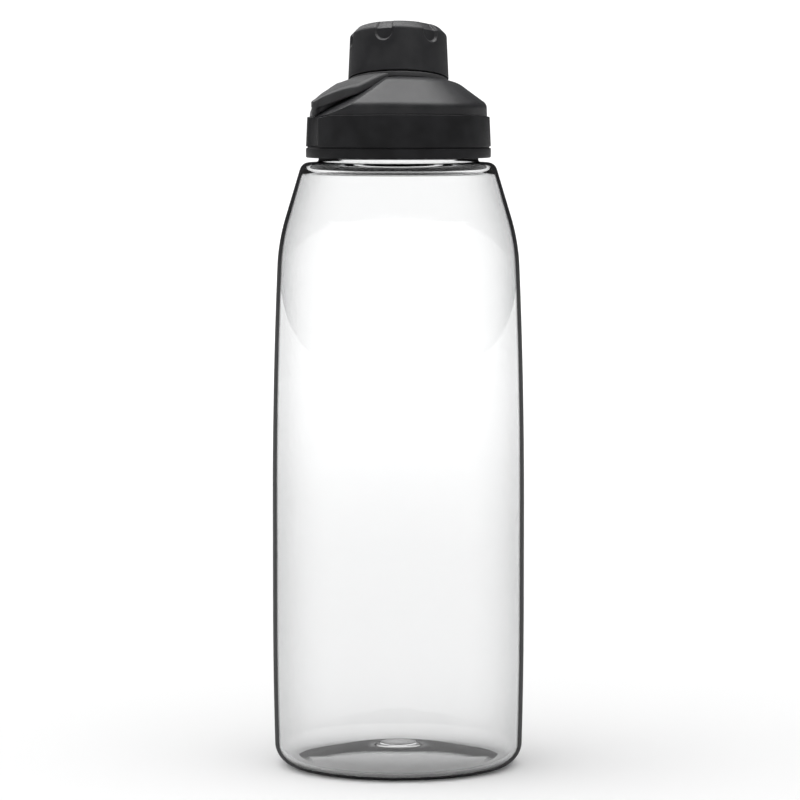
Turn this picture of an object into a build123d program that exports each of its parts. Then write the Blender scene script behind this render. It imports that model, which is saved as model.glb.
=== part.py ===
from build123d import *
from math import cos, radians, sin, tan
import os

# Clear 1.5 litre water bottle with a screw lid and a tethered, leaning spout cap.
# Millimetres, +Z up, origin on the floor at the middle of the base. The strap
# points to the left and a little forward, and the spout leans back towards +Y.

os.makedirs("parts", exist_ok=True)
same_place = 0.1  # a corner or an edge this near a line counts as on it

# ---------------------------------------------------------------- bottle
body_radius = 48.0  # widest, straight part of the wall
body_wall = 1.9
foot_side_drop = 0.7  # the wall just above the bottom corner is this much narrower
corner_radius = 8.7
straight_bottom = 60.0  # the straight part of the wall
straight_top = 100.0
shoulder_height = 230.4
waist_fall = 39.4  # below the shoulder, where the wall starts to turn in
waist_drop = 1.95  # narrower than the widest part
cone_fall = 21.9
cone_drop = 4.8
cone_lean = 16.7  # degrees from upright
shoulder_fillet = 6.5
foot_ring_width = 2.6  # the bottle stands on a flat ring inside the corner
base_wall = 2.4
punt_height = 5.0  # the base is domed in above the foot ring
dimple_radius = 8.8
dimple_height = 1.2
dimple_slope = 1.2
punt_bulge_at = 0.62  # share of the foot ring's radius where the dome's shape is set
punt_bulge = 0.72  # share of the dome's height there
swell = 0.75  # share of the foot's drop that is gone halfway up the swell

# ---------------------------------------------------------------- neck
neck_drop = 20.1  # the bore is this much narrower than the bottle's widest radius
neck_wall = 2.4
neck_height = 14.2
neck_foot_fillet = 1.2
lip_round = 0.7

lid_lead = 5.0  # rise of the lid in one turn
neck_thread_turns = 1.75
closure_thread_turns = 1.4
thread_start = 3.6  # first turn's middle above the shoulder
thread_depth = 1.2
thread_base = 2.0
thread_crest = 0.9
thread_bury = 0.3  # how far a ridge is sunk into its wall
thread_gap = 0.4  # radial, crest to root, on both sides
lugs_per_turn = 8
lug_arc = 34.0  # degrees

# ---------------------------------------------------------------- lid
seal_thickness = 1.0
seal_width = 3.5
seal_gap = 0.05
deck_thickness = 1.8
closure_wall = 0.9
lid_lift_gap = 1.8  # lid's bottom above the shoulder
base_ring_height = 3.6
base_ring_wall = 2.3  # over the closure's outside
groove_height = 0.6
groove_depth = 0.6
ring_round = 0.4
skirt_top_wall = 1.6
parting_lean = 2.0  # degrees: the band is higher in front
parting_rise = 0.15  # heights of the lid's outside are over the deck's top
closure_step_fall = 2.45
closure_step = 0.7
band_wall = 1.1
band_top_wall = 0.7
band_top_rise = 5.05
crest_margin = 4.35  # the crest and crown are this much wider than the small cap
crest_rise = 12.25
crown_margin = 1.15
crown_rise = 13.25
crown_lean = 6.0
riser_height = 4.0
void_clearance = 0.1  # round the closure's step
void_side_rise = 3.45
void_top_margin = 3.45
void_top_rise = 8.25
void_lean = 7.0
scallop_width = 11.5
scallop_depth = 1.1
skirt_edge = 0.35
scallop_overrun = 1.0

# ---------------------------------------------------------------- spout and its cap
spout_lean = 11.5  # degrees, towards +Y
spout_rise = 14.05  # over the deck, where the cap meets its ring on the axis
spout_bore = 11.5
spout_wall = 1.9
spout_top = 11.2
spout_lip_round = 0.6
spout_thread_depth = 1.0
spout_thread_base = 1.7
spout_thread_crest = 0.8
spout_thread_gap = 0.35
cap_lead = 4.0
spout_thread_turns = 1.75
liner_thread_turns = 1.6
cap_thread_start = 1.6
spout_foot_margin = 2.5  # wider than the deck's hole
spout_foot_thickness = 2.0
spout_shoulder_inset = 0.5
gasket_thickness = 1.0
gasket_width = 2.1
deck_hole_margin = 3.5  # wider than the spout's bore
tube_clearance = 0.2

cap_flange = 3.55  # the cap is this much wider than the liner's neck
cap_taper = 0.7  # narrower where the chamfer starts
cap_side_over_spout = 5.75  # the chamfer starts this far above the spout's lip
cap_chamfer = 2.9
cap_bottom = 0.25
cap_wall = 2.85
cap_top_wall = 2.6
cap_notch_wall = 1.2  # left behind the notches' part of the chamfer
notch_count = 6
notch_width = 7.0
notch_depth = 1.0
notch_drop = 5.0
notch_turn = 252.3  # degrees, plan direction of one notch
liner_top_wall = 1.6
liner_neck_wall = 0.75
liner_bead = 0.4
liner_bead_height = 0.5
cap_seal_thickness = 1.1
magnet_inset = 2.0  # smaller than the spout's bore
magnet_rim_wall = 1.2
magnet_rim_height = 2.0
magnet_fit = 0.05

ring_thickness = 2.05
ring_gap = 0.25
ring_fit = 0.08
ring_pocket_gap = 0.4
ring_floor_gap = 0.25
bead_clearance = 0.5
bead_gap = 0.1
bead_drop = 0.3

# ---------------------------------------------------------------- tether strap
strap_direction = 200.0  # plan direction, degrees from +X
strap_root_inset = 2.65  # half width at the ring, less than the cap's radius
strap_root_at = 9.0
strap_bend_inset = 4.15
strap_bend_margin = 2.45
strap_tip_half = 2.4
strap_tip_margin = 0.7  # past the dome's band
strap_lean = 3.0
strap_rim_rise = 0.3  # over the top of the band, at the strap's outer end
strap_tip_length = 2.4
strap_ring_drop = 0.8  # the strap leaves the ring this far under its top
strap_thickness = 2.9  # measured upright
strap_proud = 0.3
strap_gap = 0.35
strap_ring_gap = 0.05
strap_bend_round = 2.5
strap_tip_round = 1.6
pad_margin = 2.2
pad_depth = 0.4
pad_proud = 0.2
ledge_inset = 7.2  # from the band, where the ledge's height is set
ledge_rise = 4.85
ledge_slope = 0.67
ledge_wall = 1.2
anchor_inset = 3.9
anchor_radius = 1.3
anchor_cover = 1.3  # from the stud's top to the strap's
anchor_sink = 1.0  # how deep the stud stands in the ledge
anchor_head_radius = 2.0
anchor_head_height = 0.7

lid_magnet_radius = 4.0
lid_magnet_thickness = 2.0
lid_magnet_margin = 6.1  # from the spout's foot
clip_wall = 0.9
clip_floor = 0.7
clip_fit = 0.05

# ---------------------------------------------------------------- planes and heights
foot_side_radius = body_radius - foot_side_drop
foot_ring_inner = foot_side_radius - corner_radius - foot_ring_width
waist_radius = body_radius - waist_drop
waist_height = shoulder_height - waist_fall
cone_bottom_radius = body_radius - cone_drop
cone_bottom = shoulder_height - cone_fall
neck_bore_radius = body_radius - neck_drop
neck_root_radius = neck_bore_radius + neck_wall
lip_height = shoulder_height + neck_height
seal_bottom = lip_height + seal_gap
deck_bottom = seal_bottom + seal_thickness
deck_top = deck_bottom + deck_thickness
lid_bottom = shoulder_height + lid_lift_gap
ring_top_height = lid_bottom + base_ring_height
skirt_bottom = ring_top_height + groove_height
neck_crest_radius = neck_root_radius + thread_depth
closure_root_radius = neck_crest_radius + thread_gap
closure_outer_radius = closure_root_radius + closure_wall
base_ring_radius = closure_outer_radius + base_ring_wall
skirt_top_radius = closure_outer_radius + skirt_top_wall
band_radius = closure_outer_radius + band_wall
band_top_radius = closure_outer_radius + band_top_wall
void_radius = closure_outer_radius - closure_step + void_clearance
parting_height = deck_top + parting_rise
closure_step_height = deck_top - closure_step_fall
band_top_height = deck_top + band_top_rise
crest_height = deck_top + crest_rise
crown_height = deck_top + crown_rise
void_side_top = deck_top + void_side_rise
void_top_height = deck_top + void_top_rise
spout_height = deck_top + spout_rise
spout_root = spout_bore + spout_wall
spout_crest = spout_root + spout_thread_depth
liner_root = spout_crest + spout_thread_gap
liner_neck_radius = liner_root + liner_neck_wall
deck_hole_radius = spout_bore + deck_hole_margin
spout_foot_radius = deck_hole_radius + spout_foot_margin
spout_shoulder_radius = spout_foot_radius - spout_shoulder_inset
cap_radius = liner_neck_radius + cap_flange
cap_chamfer_radius = cap_radius - cap_taper
cap_side = spout_top + cap_side_over_spout
crest_radius = cap_radius + crest_margin
crown_radius = cap_radius + crown_margin
void_top_radius = cap_radius + void_top_margin
magnet_radius = spout_bore - magnet_inset
cap_inner_radius = cap_radius - cap_wall
cap_top = cap_side + cap_chamfer
cap_cavity_top = cap_top - cap_top_wall
cap_seal_bottom = spout_top + seal_gap
liner_deck_bottom = cap_seal_bottom + cap_seal_thickness
liner_top = liner_deck_bottom + liner_top_wall
ring_top = -ring_gap
ring_bottom = ring_top - ring_thickness
ring_inner_radius = liner_neck_radius + ring_fit
pocket_floor = ring_bottom - ring_floor_gap
bead_top = ring_bottom - bead_gap
bead_bottom = bead_top - liner_bead_height
bead_recess_floor = bead_bottom - bead_drop
bead_radius = liner_neck_radius + liner_bead
cap_top_radius = cap_chamfer_radius - cap_chamfer
cavity_slope = cap_chamfer_radius + cap_side - (notch_depth + cap_notch_wall) * 2**0.5
foot_bottom = deck_top + gasket_thickness
strap_root_half = cap_radius - strap_root_inset
strap_bend_half = cap_radius - strap_bend_inset
strap_bend_at = cap_radius + strap_bend_margin
strap_tip_at = band_radius + strap_tip_margin
ledge_at = band_radius - ledge_inset
ledge_height = deck_top + ledge_rise
anchor_at = band_radius - anchor_inset
lid_magnet_at = spout_foot_radius + lid_magnet_margin
anchor_foot = ledge_height - ledge_slope * (anchor_at - ledge_at) - anchor_sink
strap_rim = strap_tip_at + 2 * strap_gap
strap_rim_height = band_top_height + strap_rim_rise
strap_crest_height = crest_height + strap_proud
strap_slope = (strap_crest_height - strap_rim_height) / (strap_rim - crest_radius)
anchor_top = strap_rim_height + strap_slope * (strap_rim - anchor_at) - anchor_cover
anchor_length = anchor_top - anchor_foot


def leaning_plane(height, lean):
    """A plane through the axis at a height, tipped back towards +Y."""
    return Plane(origin=(0, 0, height), x_dir=(1, 0, 0),
                 z_dir=(0, sin(radians(lean)), cos(radians(lean))))


spout_plane = leaning_plane(spout_height, spout_lean)
crown_plane = leaning_plane(crown_height, crown_lean)
crest_plane = leaning_plane(crest_height, crown_lean)
void_plane = leaning_plane(void_top_height, void_lean)
parting_plane = leaning_plane(parting_height, parting_lean)
spout_axis = Axis(spout_plane.origin, spout_plane.z_dir)
spout_section = Plane(origin=spout_plane.origin, x_dir=spout_plane.x_dir, z_dir=-spout_plane.y_dir)
strap_line = Vector(cos(radians(strap_direction)), sin(radians(strap_direction)), 0)
strap_plan = Plane(origin=(0, 0, 0), x_dir=strap_line, z_dir=(0, 0, 1))
ledge_up = Vector(strap_line.X * ledge_slope, strap_line.Y * ledge_slope, 1)
ledge_plane = Plane(origin=strap_line * ledge_at + Vector(0, 0, ledge_height), z_dir=ledge_up)
ledge_underside = Plane(origin=ledge_plane.origin - Vector(0, 0, ledge_wall), z_dir=ledge_up)


def finish(part, name):
    part.label = name
    export_step(part, f"parts/{name}.step")


def thread_lugs(axis_plane, radius, lead, turns, start, base, crest, depth):
    """An interrupted thread: short lugs that climb a wall, outwards from it or, if
    depth is negative, inwards."""
    bury = -thread_bury if depth > 0 else thread_bury
    axis = Axis(axis_plane.origin, axis_plane.z_dir)
    with BuildPart() as lugs:
        for number in range(round(turns * lugs_per_turn)):
            turn = radians(number * 360 / lugs_per_turn)
            outwards = axis_plane.x_dir * cos(turn) + axis_plane.y_dir * sin(turn)
            section = Plane(origin=axis_plane.origin, x_dir=outwards,
                            z_dir=outwards.cross(axis_plane.z_dir))
            middle = start + lead * number / lugs_per_turn
            with BuildSketch(section):
                with BuildLine():
                    Polyline((radius + bury, middle - base / 2), (radius, middle - base / 2),
                             (radius + depth, middle - crest / 2),
                             (radius + depth, middle + crest / 2), (radius, middle + base / 2),
                             (radius + bury, middle + base / 2), close=True)
                make_face()
            revolve(axis=axis, revolution_arc=lug_arc)
    return lugs.part


# ---------------------------------------------------------------- bottle_body
cone_top_radius = cone_bottom_radius - (shoulder_height - cone_bottom) * tan(radians(cone_lean))


def body_outline(inset, floor, top):
    """Half the bottle's outline in a sketch, moved inwards from the outside by inset."""
    corner_start = foot_side_radius - corner_radius
    bend = (corner_start + (corner_radius - inset) * sin(radians(45)),
            corner_radius - (corner_radius - floor) * sin(radians(45)))
    middle = (foot_side_radius + swell * foot_side_drop - inset,
              (corner_radius + straight_bottom) / 2)
    punt_side = (punt_bulge_at * foot_ring_inner, floor + punt_bulge * punt_height)
    top_radius = cone_top_radius - inset + (shoulder_height - top) * tan(radians(cone_lean))
    with BuildSketch() as outline:
        with BuildLine():
            dimple = Line((0, floor + punt_height + dimple_height),
                          (dimple_radius - dimple_slope, floor + punt_height + dimple_height))
            slope = Line(dimple @ 1, (dimple_radius, floor + punt_height))
            punt = ThreePointArc(slope @ 1, punt_side, (foot_ring_inner, floor))
            foot = Line(punt @ 1, (corner_start, floor))
            corner = ThreePointArc(foot @ 1, bend, (foot_side_radius - inset, corner_radius))
            foot_swell = ThreePointArc(corner @ 1, middle, (body_radius - inset, straight_bottom))
            wall = Line(foot_swell @ 1, (body_radius - inset, straight_top))
            upper = TangentArc(wall @ 1, (waist_radius - inset, waist_height), tangent=(0, 1))
            turn = TangentArc(upper @ 1, (cone_bottom_radius - inset, cone_bottom), tangent=upper % 1)
            cone = Line(turn @ 1, (top_radius, top))
            lid_side = Line(cone @ 1, (0, top))
            Line(lid_side @ 1, dimple @ 0)
        make_face()
    return outline.sketch


with BuildPart() as bottle_body:
    with BuildSketch(Plane.XZ) as outside:
        add(body_outline(0, 0, shoulder_height))
        with Locations((0, shoulder_height)):
            Rectangle(neck_root_radius, neck_height, align=(Align.MIN, Align.MIN))
        at_shoulder = outside.vertices().filter_by_position(
            Axis.Y, shoulder_height - same_place, shoulder_height + same_place)
        fillet(at_shoulder.sort_by(Axis.X)[-1], shoulder_fillet)
        on_neck = outside.vertices().filter_by_position(
            Axis.X, neck_root_radius - same_place, neck_root_radius + same_place)
        fillet(on_neck.sort_by(Axis.Y)[0], neck_foot_fillet)
        fillet(outside.vertices().group_by(Axis.Y)[-1].sort_by(Axis.X)[-1], lip_round)
    revolve(axis=Axis.Z)
    with BuildSketch(Plane.XZ) as inside:
        add(body_outline(body_wall, base_wall, shoulder_height - body_wall))
        top_corner = inside.vertices().group_by(Axis.Y)[-1].sort_by(Axis.X)[-1]
        fillet(top_corner, shoulder_fillet - body_wall)
        with Locations((0, shoulder_height / 2)):
            Rectangle(neck_bore_radius, shoulder_height, align=(Align.MIN, Align.MIN))
    revolve(axis=Axis.Z, mode=Mode.SUBTRACT)
    add(thread_lugs(Plane.XY, neck_root_radius, lid_lead, neck_thread_turns,
                     shoulder_height + thread_start, thread_base, thread_crest, thread_depth))
finish(bottle_body.part, "bottle_body")

# ---------------------------------------------------------------- neck_seal
with BuildPart() as neck_seal:
    with BuildSketch(Plane.XY.offset(seal_bottom)):
        Circle(neck_bore_radius + seal_width)
        Circle(neck_bore_radius, mode=Mode.SUBTRACT)
    extrude(amount=seal_thickness)
finish(neck_seal.part, "neck_seal")

# ---------------------------------------------------------------- lid_closure
with BuildPart() as lid_closure:
    with BuildSketch(Plane.XZ):
        with BuildLine():
            Polyline((closure_root_radius, lid_bottom), (base_ring_radius, lid_bottom),
                     (base_ring_radius, ring_top_height),
                     (base_ring_radius - groove_depth, ring_top_height),
                     (base_ring_radius - groove_depth, skirt_bottom),
                     (closure_outer_radius, skirt_bottom),
                     (closure_outer_radius, closure_step_height),
                     (closure_outer_radius - closure_step, closure_step_height),
                     (closure_outer_radius - closure_step, deck_top),
                     (deck_hole_radius, deck_top), (deck_hole_radius, deck_bottom),
                     (closure_root_radius, deck_bottom), close=True)
        make_face()
    revolve(axis=Axis.Z)
    ring_edges = lid_closure.edges().filter_by(GeomType.CIRCLE).filter_by(
        lambda edge: edge.radius > base_ring_radius - same_place)
    fillet(ring_edges, ring_round)
    add(thread_lugs(Plane.XY, closure_root_radius, lid_lead, closure_thread_turns,
                     shoulder_height + thread_start + lid_lead / 2,
                     thread_base, thread_crest, -thread_depth))
finish(lid_closure.part, "lid_closure")

# ---------------------------------------------------------------- lid_skirt
scallop_radius = (scallop_width**2 / 4 + scallop_depth**2) / (2 * scallop_depth)
with BuildPart() as lid_skirt:
    with BuildSketch(Plane.XZ):
        with BuildLine():
            Polyline((closure_outer_radius, skirt_bottom), (base_ring_radius, skirt_bottom),
                     (skirt_top_radius, band_top_height), (closure_outer_radius, band_top_height),
                     close=True)
        make_face()
    revolve(axis=Axis.Z)
    split(bisect_by=parting_plane, keep=Keep.BOTTOM)
    top_edge = lid_skirt.edges().filter_by(GeomType.ELLIPSE).sort_by(SortBy.LENGTH)[-1]
    fillet(top_edge, skirt_edge)
    bottom_edge = lid_skirt.edges().filter_by(GeomType.CIRCLE).sort_by(SortBy.RADIUS)[-1]
    fillet(bottom_edge, skirt_edge)
    with BuildSketch(strap_plan.offset(skirt_bottom - scallop_overrun)):
        with Locations((skirt_top_radius - scallop_depth + scallop_radius, 0)):
            Circle(scallop_radius)
    extrude(amount=band_top_height - skirt_bottom + scallop_overrun, mode=Mode.SUBTRACT)
    split(bisect_by=ledge_plane, keep=Keep.BOTTOM)
finish(lid_skirt.part, "lid_skirt")

# ---------------------------------------------------------------- strap room


def strap_outline(margin):
    """The strap's teardrop outline in the strap's plan, grown by margin."""
    with BuildSketch() as outline:
        with BuildLine():
            Polyline((strap_root_at - margin, -strap_root_half), (strap_bend_at, -strap_bend_half),
                     (strap_tip_at - strap_tip_length, -strap_tip_half),
                     (strap_tip_at, -strap_tip_half), (strap_tip_at, strap_tip_half),
                     (strap_tip_at - strap_tip_length, strap_tip_half),
                     (strap_bend_at, strap_bend_half), (strap_root_at - margin, strap_root_half),
                     close=True)
        make_face()
        tip = outline.vertices().group_by(Axis.X)[-1]
        fillet(tip, strap_tip_round)
        bends = outline.vertices().filter_by_position(Axis.X, strap_bend_at - 0.1, strap_bend_at + 0.1)
        fillet(bends, strap_bend_round)
        if margin:
            offset(amount=margin, mode=Mode.REPLACE)
    return outline.sketch


def strap_crown(drop):
    """The lid's crown as the strap follows it, lowered by drop: a stack of circles."""
    with BuildPart() as crown:
        with BuildSketch(Plane.XY.offset(lid_bottom)):
            Circle(strap_rim)
        with BuildSketch(Plane.XY.offset(strap_rim_height - drop)):
            Circle(strap_rim)
        with BuildSketch(leaning_plane(strap_crest_height - drop, strap_lean)):
            Circle(crest_radius)
        with BuildSketch(leaning_plane(spout_height - strap_ring_drop - drop, spout_lean)):
            Circle(cap_radius)
        loft(ruled=True)
    return crown.part


strap_top_height = spout_height + cap_radius
with BuildPart() as strap_room:
    with BuildSketch(strap_plan.offset(lid_bottom)):
        add(strap_outline(strap_gap))
    extrude(amount=strap_top_height - lid_bottom)
    add(strap_crown(strap_thickness + strap_gap), mode=Mode.SUBTRACT)

# ---------------------------------------------------------------- lid_dome
with BuildPart() as dome_void:
    with BuildSketch(Plane.XY.offset(lid_bottom)):
        Circle(void_radius)
    with BuildSketch(Plane.XY.offset(void_side_top)):
        Circle(void_radius)
    with BuildSketch(void_plane):
        Circle(void_top_radius)
    loft(ruled=True)
    split(bisect_by=ledge_underside, keep=Keep.BOTTOM)

with BuildPart() as lid_dome:
    with BuildSketch(Plane.XY.offset(skirt_bottom)):
        Circle(band_radius)
    with BuildSketch(Plane.XY.offset(band_top_height)):
        Circle(band_top_radius)
    with BuildSketch(crest_plane):
        Circle(crest_radius)
    with BuildSketch(crown_plane):
        Circle(crown_radius)
    loft(ruled=True)
    split(bisect_by=parting_plane, keep=Keep.TOP)
    with BuildSketch(spout_plane.offset(pocket_floor)):
        Circle(cap_radius)
    extrude(amount=-riser_height)
    with BuildSketch(spout_plane.offset(pocket_floor)):
        Circle(cap_radius + ring_pocket_gap)
    extrude(amount=cap_radius, mode=Mode.SUBTRACT)
    with BuildSketch(spout_plane.offset(bead_recess_floor)):
        Circle(bead_radius + bead_clearance)
    extrude(amount=cap_radius, mode=Mode.SUBTRACT)
    add(dome_void.part, mode=Mode.SUBTRACT)
    with BuildSketch(spout_plane):
        Circle(spout_root + tube_clearance)
    extrude(amount=-cap_radius, mode=Mode.SUBTRACT)
    add(strap_room.part, mode=Mode.SUBTRACT)
    split(bisect_by=ledge_plane, keep=Keep.BOTTOM)
    with BuildSketch(strap_plan.offset(anchor_foot)):
        with Locations((anchor_at, 0)):
            Circle(anchor_radius)
    extrude(amount=anchor_length, mode=Mode.SUBTRACT)
finish(lid_dome.part, "lid_dome")

# ---------------------------------------------------------------- spout
with BuildPart() as spout:
    with BuildSketch(spout_plane.offset(spout_top)):
        Circle(spout_root)
    extrude(amount=-2 * (spout_height - foot_bottom))
    with BuildSketch(void_plane):
        Circle(spout_shoulder_radius)
    extrude(amount=-spout_foot_thickness)
    split(bisect_by=Plane.XY.offset(foot_bottom), keep=Keep.TOP)
    with BuildSketch(Plane.XY.offset(foot_bottom)):
        Circle(spout_foot_radius)
    extrude(amount=spout_foot_thickness)
    with BuildSketch(spout_plane.offset(spout_top)):
        Circle(spout_bore)
    extrude(amount=-2 * (spout_height - foot_bottom), mode=Mode.SUBTRACT)
    fillet(spout.edges().filter_by(GeomType.CIRCLE).sort_by(spout_axis)[-2:], spout_lip_round)
    add(thread_lugs(spout_plane, spout_root, cap_lead, spout_thread_turns, cap_thread_start,
                     spout_thread_base, spout_thread_crest, spout_thread_depth))
finish(spout.part, "spout")

# ---------------------------------------------------------------- spout_gasket
with BuildPart() as spout_gasket:
    with BuildSketch(Plane.XY.offset(deck_top)):
        Circle(deck_hole_radius + gasket_width)
        Circle(deck_hole_radius, mode=Mode.SUBTRACT)
    extrude(amount=gasket_thickness)
finish(spout_gasket.part, "spout_gasket")

# ---------------------------------------------------------------- cap_shell


def cap_outline(inset):
    """Half the small cap's outline, with its side and chamfer moved in by inset."""
    corner_drop = inset * (2**0.5 - 1)
    with BuildSketch() as outline:
        with BuildLine():
            Polyline((0, cap_bottom), (cap_radius - inset, cap_bottom),
                     (cap_chamfer_radius - inset, cap_side - corner_drop),
                     (cap_top_radius - inset * 2**0.5, cap_top), (0, cap_top), close=True)
        make_face()
    return outline.sketch


with BuildPart() as cap_shell:
    with BuildSketch(spout_section):
        add(cap_outline(0))
    revolve(axis=spout_axis)
    for number in range(notch_count):
        turn = radians(notch_turn + number * 360 / notch_count)
        outwards = spout_plane.x_dir * cos(turn) + spout_plane.y_dir * sin(turn)
        notch_plane = Plane(origin=spout_plane.origin + outwards * cap_radius / 2,
                            x_dir=spout_plane.z_dir.cross(outwards), z_dir=outwards)
        notch_foot = cap_side - notch_drop + notch_width / 2
        with BuildSketch(notch_plane):
            with Locations((0, notch_foot)):
                Circle(notch_width / 2)
                Rectangle(notch_width, cap_top, align=(Align.CENTER, Align.MIN))
        extrude(amount=cap_radius, mode=Mode.SUBTRACT)
    with BuildSketch(spout_section):
        add(cap_outline(notch_depth))
    revolve(axis=spout_axis)
    with BuildSketch(spout_section):
        with BuildLine():
            Polyline((0, cap_bottom), (cap_inner_radius, cap_bottom),
                     (cap_inner_radius, cavity_slope - cap_inner_radius),
                     (cavity_slope - cap_cavity_top, cap_cavity_top), (0, cap_cavity_top), close=True)
        make_face()
    revolve(axis=spout_axis, mode=Mode.SUBTRACT)
finish(cap_shell.part, "cap_shell")

# ---------------------------------------------------------------- cap_liner
with BuildPart() as cap_liner:
    with BuildSketch(spout_section):
        with BuildLine():
            Polyline((0, liner_deck_bottom), (liner_root, liner_deck_bottom),
                     (liner_root, bead_bottom), (bead_radius, bead_bottom), (bead_radius, bead_top),
                     (liner_neck_radius, bead_top), (liner_neck_radius, cap_bottom),
                     (cap_inner_radius, cap_bottom), (cap_inner_radius, liner_top),
                     (magnet_radius + magnet_fit + magnet_rim_wall, liner_top),
                     (magnet_radius + magnet_fit + magnet_rim_wall, liner_top + magnet_rim_height),
                     (magnet_radius + magnet_fit, liner_top + magnet_rim_height),
                     (magnet_radius + magnet_fit, liner_top), (0, liner_top), close=True)
        make_face()
    revolve(axis=spout_axis)
    add(thread_lugs(spout_plane, liner_root, cap_lead, liner_thread_turns,
                     cap_thread_start + cap_lead / 2, spout_thread_base, spout_thread_crest,
                     -spout_thread_depth))
finish(cap_liner.part, "cap_liner")

# ---------------------------------------------------------------- cap_seal
with BuildPart() as cap_seal:
    with BuildSketch(spout_plane.offset(cap_seal_bottom)):
        Circle(liner_root)
    extrude(amount=cap_seal_thickness)
finish(cap_seal.part, "cap_seal")

# ---------------------------------------------------------------- cap_magnet
with BuildPart() as cap_magnet:
    with BuildSketch(spout_plane.offset(liner_top)):
        Circle(magnet_radius)
    extrude(amount=cap_cavity_top - liner_top)
finish(cap_magnet.part, "cap_magnet")

# ---------------------------------------------------------------- tether_ring
with BuildPart() as tether_ring:
    with BuildSketch(spout_plane.offset(ring_bottom)):
        Circle(cap_radius)
        Circle(ring_inner_radius, mode=Mode.SUBTRACT)
    extrude(amount=ring_thickness)
finish(tether_ring.part, "tether_ring")

# ---------------------------------------------------------------- tether_strap

with BuildPart() as ring_room:
    with BuildSketch(spout_plane.offset(ring_bottom - cap_radius)):
        Circle(cap_radius + strap_ring_gap)
    extrude(amount=2 * cap_radius)

with BuildPart() as tether_anchor:
    with BuildSketch(strap_plan.offset(anchor_foot)):
        with Locations((anchor_at, 0)):
            Circle(anchor_radius)
    extrude(amount=anchor_length)
    with BuildSketch(strap_plan.offset(anchor_foot + anchor_length - anchor_head_height)):
        with Locations((anchor_at, 0)):
            Circle(anchor_head_radius)
    extrude(amount=anchor_head_height)
finish(tether_anchor.part, "tether_anchor")

with BuildPart() as pad_room:
    with BuildSketch(strap_plan.offset(lid_bottom)):
        add(strap_outline(-pad_margin))
    extrude(amount=strap_top_height - lid_bottom)
    add(strap_crown(pad_depth), mode=Mode.SUBTRACT)
    add(ring_room.part, mode=Mode.SUBTRACT)

with BuildPart() as tether_strap:
    with BuildSketch(strap_plan.offset(lid_bottom)):
        add(strap_outline(0))
    extrude(amount=strap_top_height - lid_bottom)
    add(strap_crown(0), mode=Mode.INTERSECT)
    add(strap_crown(strap_thickness), mode=Mode.SUBTRACT)
    add(ring_room.part, mode=Mode.SUBTRACT)
    add(pad_room.part, mode=Mode.SUBTRACT)
    add(tether_anchor.part, mode=Mode.SUBTRACT)
finish(tether_strap.part, "tether_strap")

# ---------------------------------------------------------------- tether_pad
with BuildPart() as tether_pad:
    add(pad_room.part)
    add(strap_crown(-pad_proud), mode=Mode.INTERSECT)
    add(tether_anchor.part, mode=Mode.SUBTRACT)
finish(tether_pad.part, "tether_pad")

# ---------------------------------------------------------------- lid_magnet and its clip
clip_radius = lid_magnet_radius + clip_fit + clip_wall
with BuildPart() as magnet_clip:
    with BuildSketch(strap_plan.offset(deck_top)):
        with Locations((lid_magnet_at, 0)):
            Circle(clip_radius)
    extrude(amount=clip_floor + lid_magnet_thickness / 2)
    with BuildSketch(strap_plan.offset(deck_top + clip_floor)):
        with Locations((lid_magnet_at, 0)):
            Circle(lid_magnet_radius + clip_fit)
    extrude(amount=lid_magnet_thickness, mode=Mode.SUBTRACT)
finish(magnet_clip.part, "magnet_clip")

with BuildPart() as lid_magnet:
    with BuildSketch(strap_plan.offset(deck_top + clip_floor)):
        with Locations((lid_magnet_at, 0)):
            Circle(lid_magnet_radius)
    extrude(amount=lid_magnet_thickness)
finish(lid_magnet.part, "lid_magnet")
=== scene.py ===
import math

import bpy
import numpy as np
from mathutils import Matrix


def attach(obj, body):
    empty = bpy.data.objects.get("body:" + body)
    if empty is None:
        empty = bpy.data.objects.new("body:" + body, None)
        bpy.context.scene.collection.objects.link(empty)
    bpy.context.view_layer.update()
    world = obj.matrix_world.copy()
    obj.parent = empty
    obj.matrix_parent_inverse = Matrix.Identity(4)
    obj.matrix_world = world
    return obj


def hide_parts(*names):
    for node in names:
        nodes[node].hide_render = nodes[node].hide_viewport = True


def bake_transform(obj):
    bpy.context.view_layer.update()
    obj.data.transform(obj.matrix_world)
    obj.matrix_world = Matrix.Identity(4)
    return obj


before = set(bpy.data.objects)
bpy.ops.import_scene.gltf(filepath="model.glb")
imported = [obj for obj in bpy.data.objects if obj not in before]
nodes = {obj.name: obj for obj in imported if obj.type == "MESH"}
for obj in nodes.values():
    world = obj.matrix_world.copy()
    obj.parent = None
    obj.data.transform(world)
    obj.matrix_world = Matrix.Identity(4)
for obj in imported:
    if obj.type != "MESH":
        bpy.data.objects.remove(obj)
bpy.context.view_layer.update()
scene = bpy.context.scene
turn = 2 * math.pi
spoutLean = math.radians(11.5)  # the spout and its cap lean back towards +Y
spoutHeight = 261.5  # where the small cap meets its ring, on the axis
strapTurn = math.radians(200)  # plan direction of the tether strap


# Shapes are worked out in millimetres on grids: first index round the piece, second along its outline.
# Leaning circle: x = r cos a, y = r sin a cos lean + s sin lean, z = h - r sin a sin lean + s cos lean.
def leaning(radius, angle, along, height, lean):
    radius, angle, along = np.broadcast_arrays(radius, angle, along)
    sine, cosine = math.sin(lean), math.cos(lean)
    return np.stack([radius * np.cos(angle),
                     radius * np.sin(angle) * cosine + along * sine,
                     height - radius * np.sin(angle) * sine + along * cosine], -1)


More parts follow.
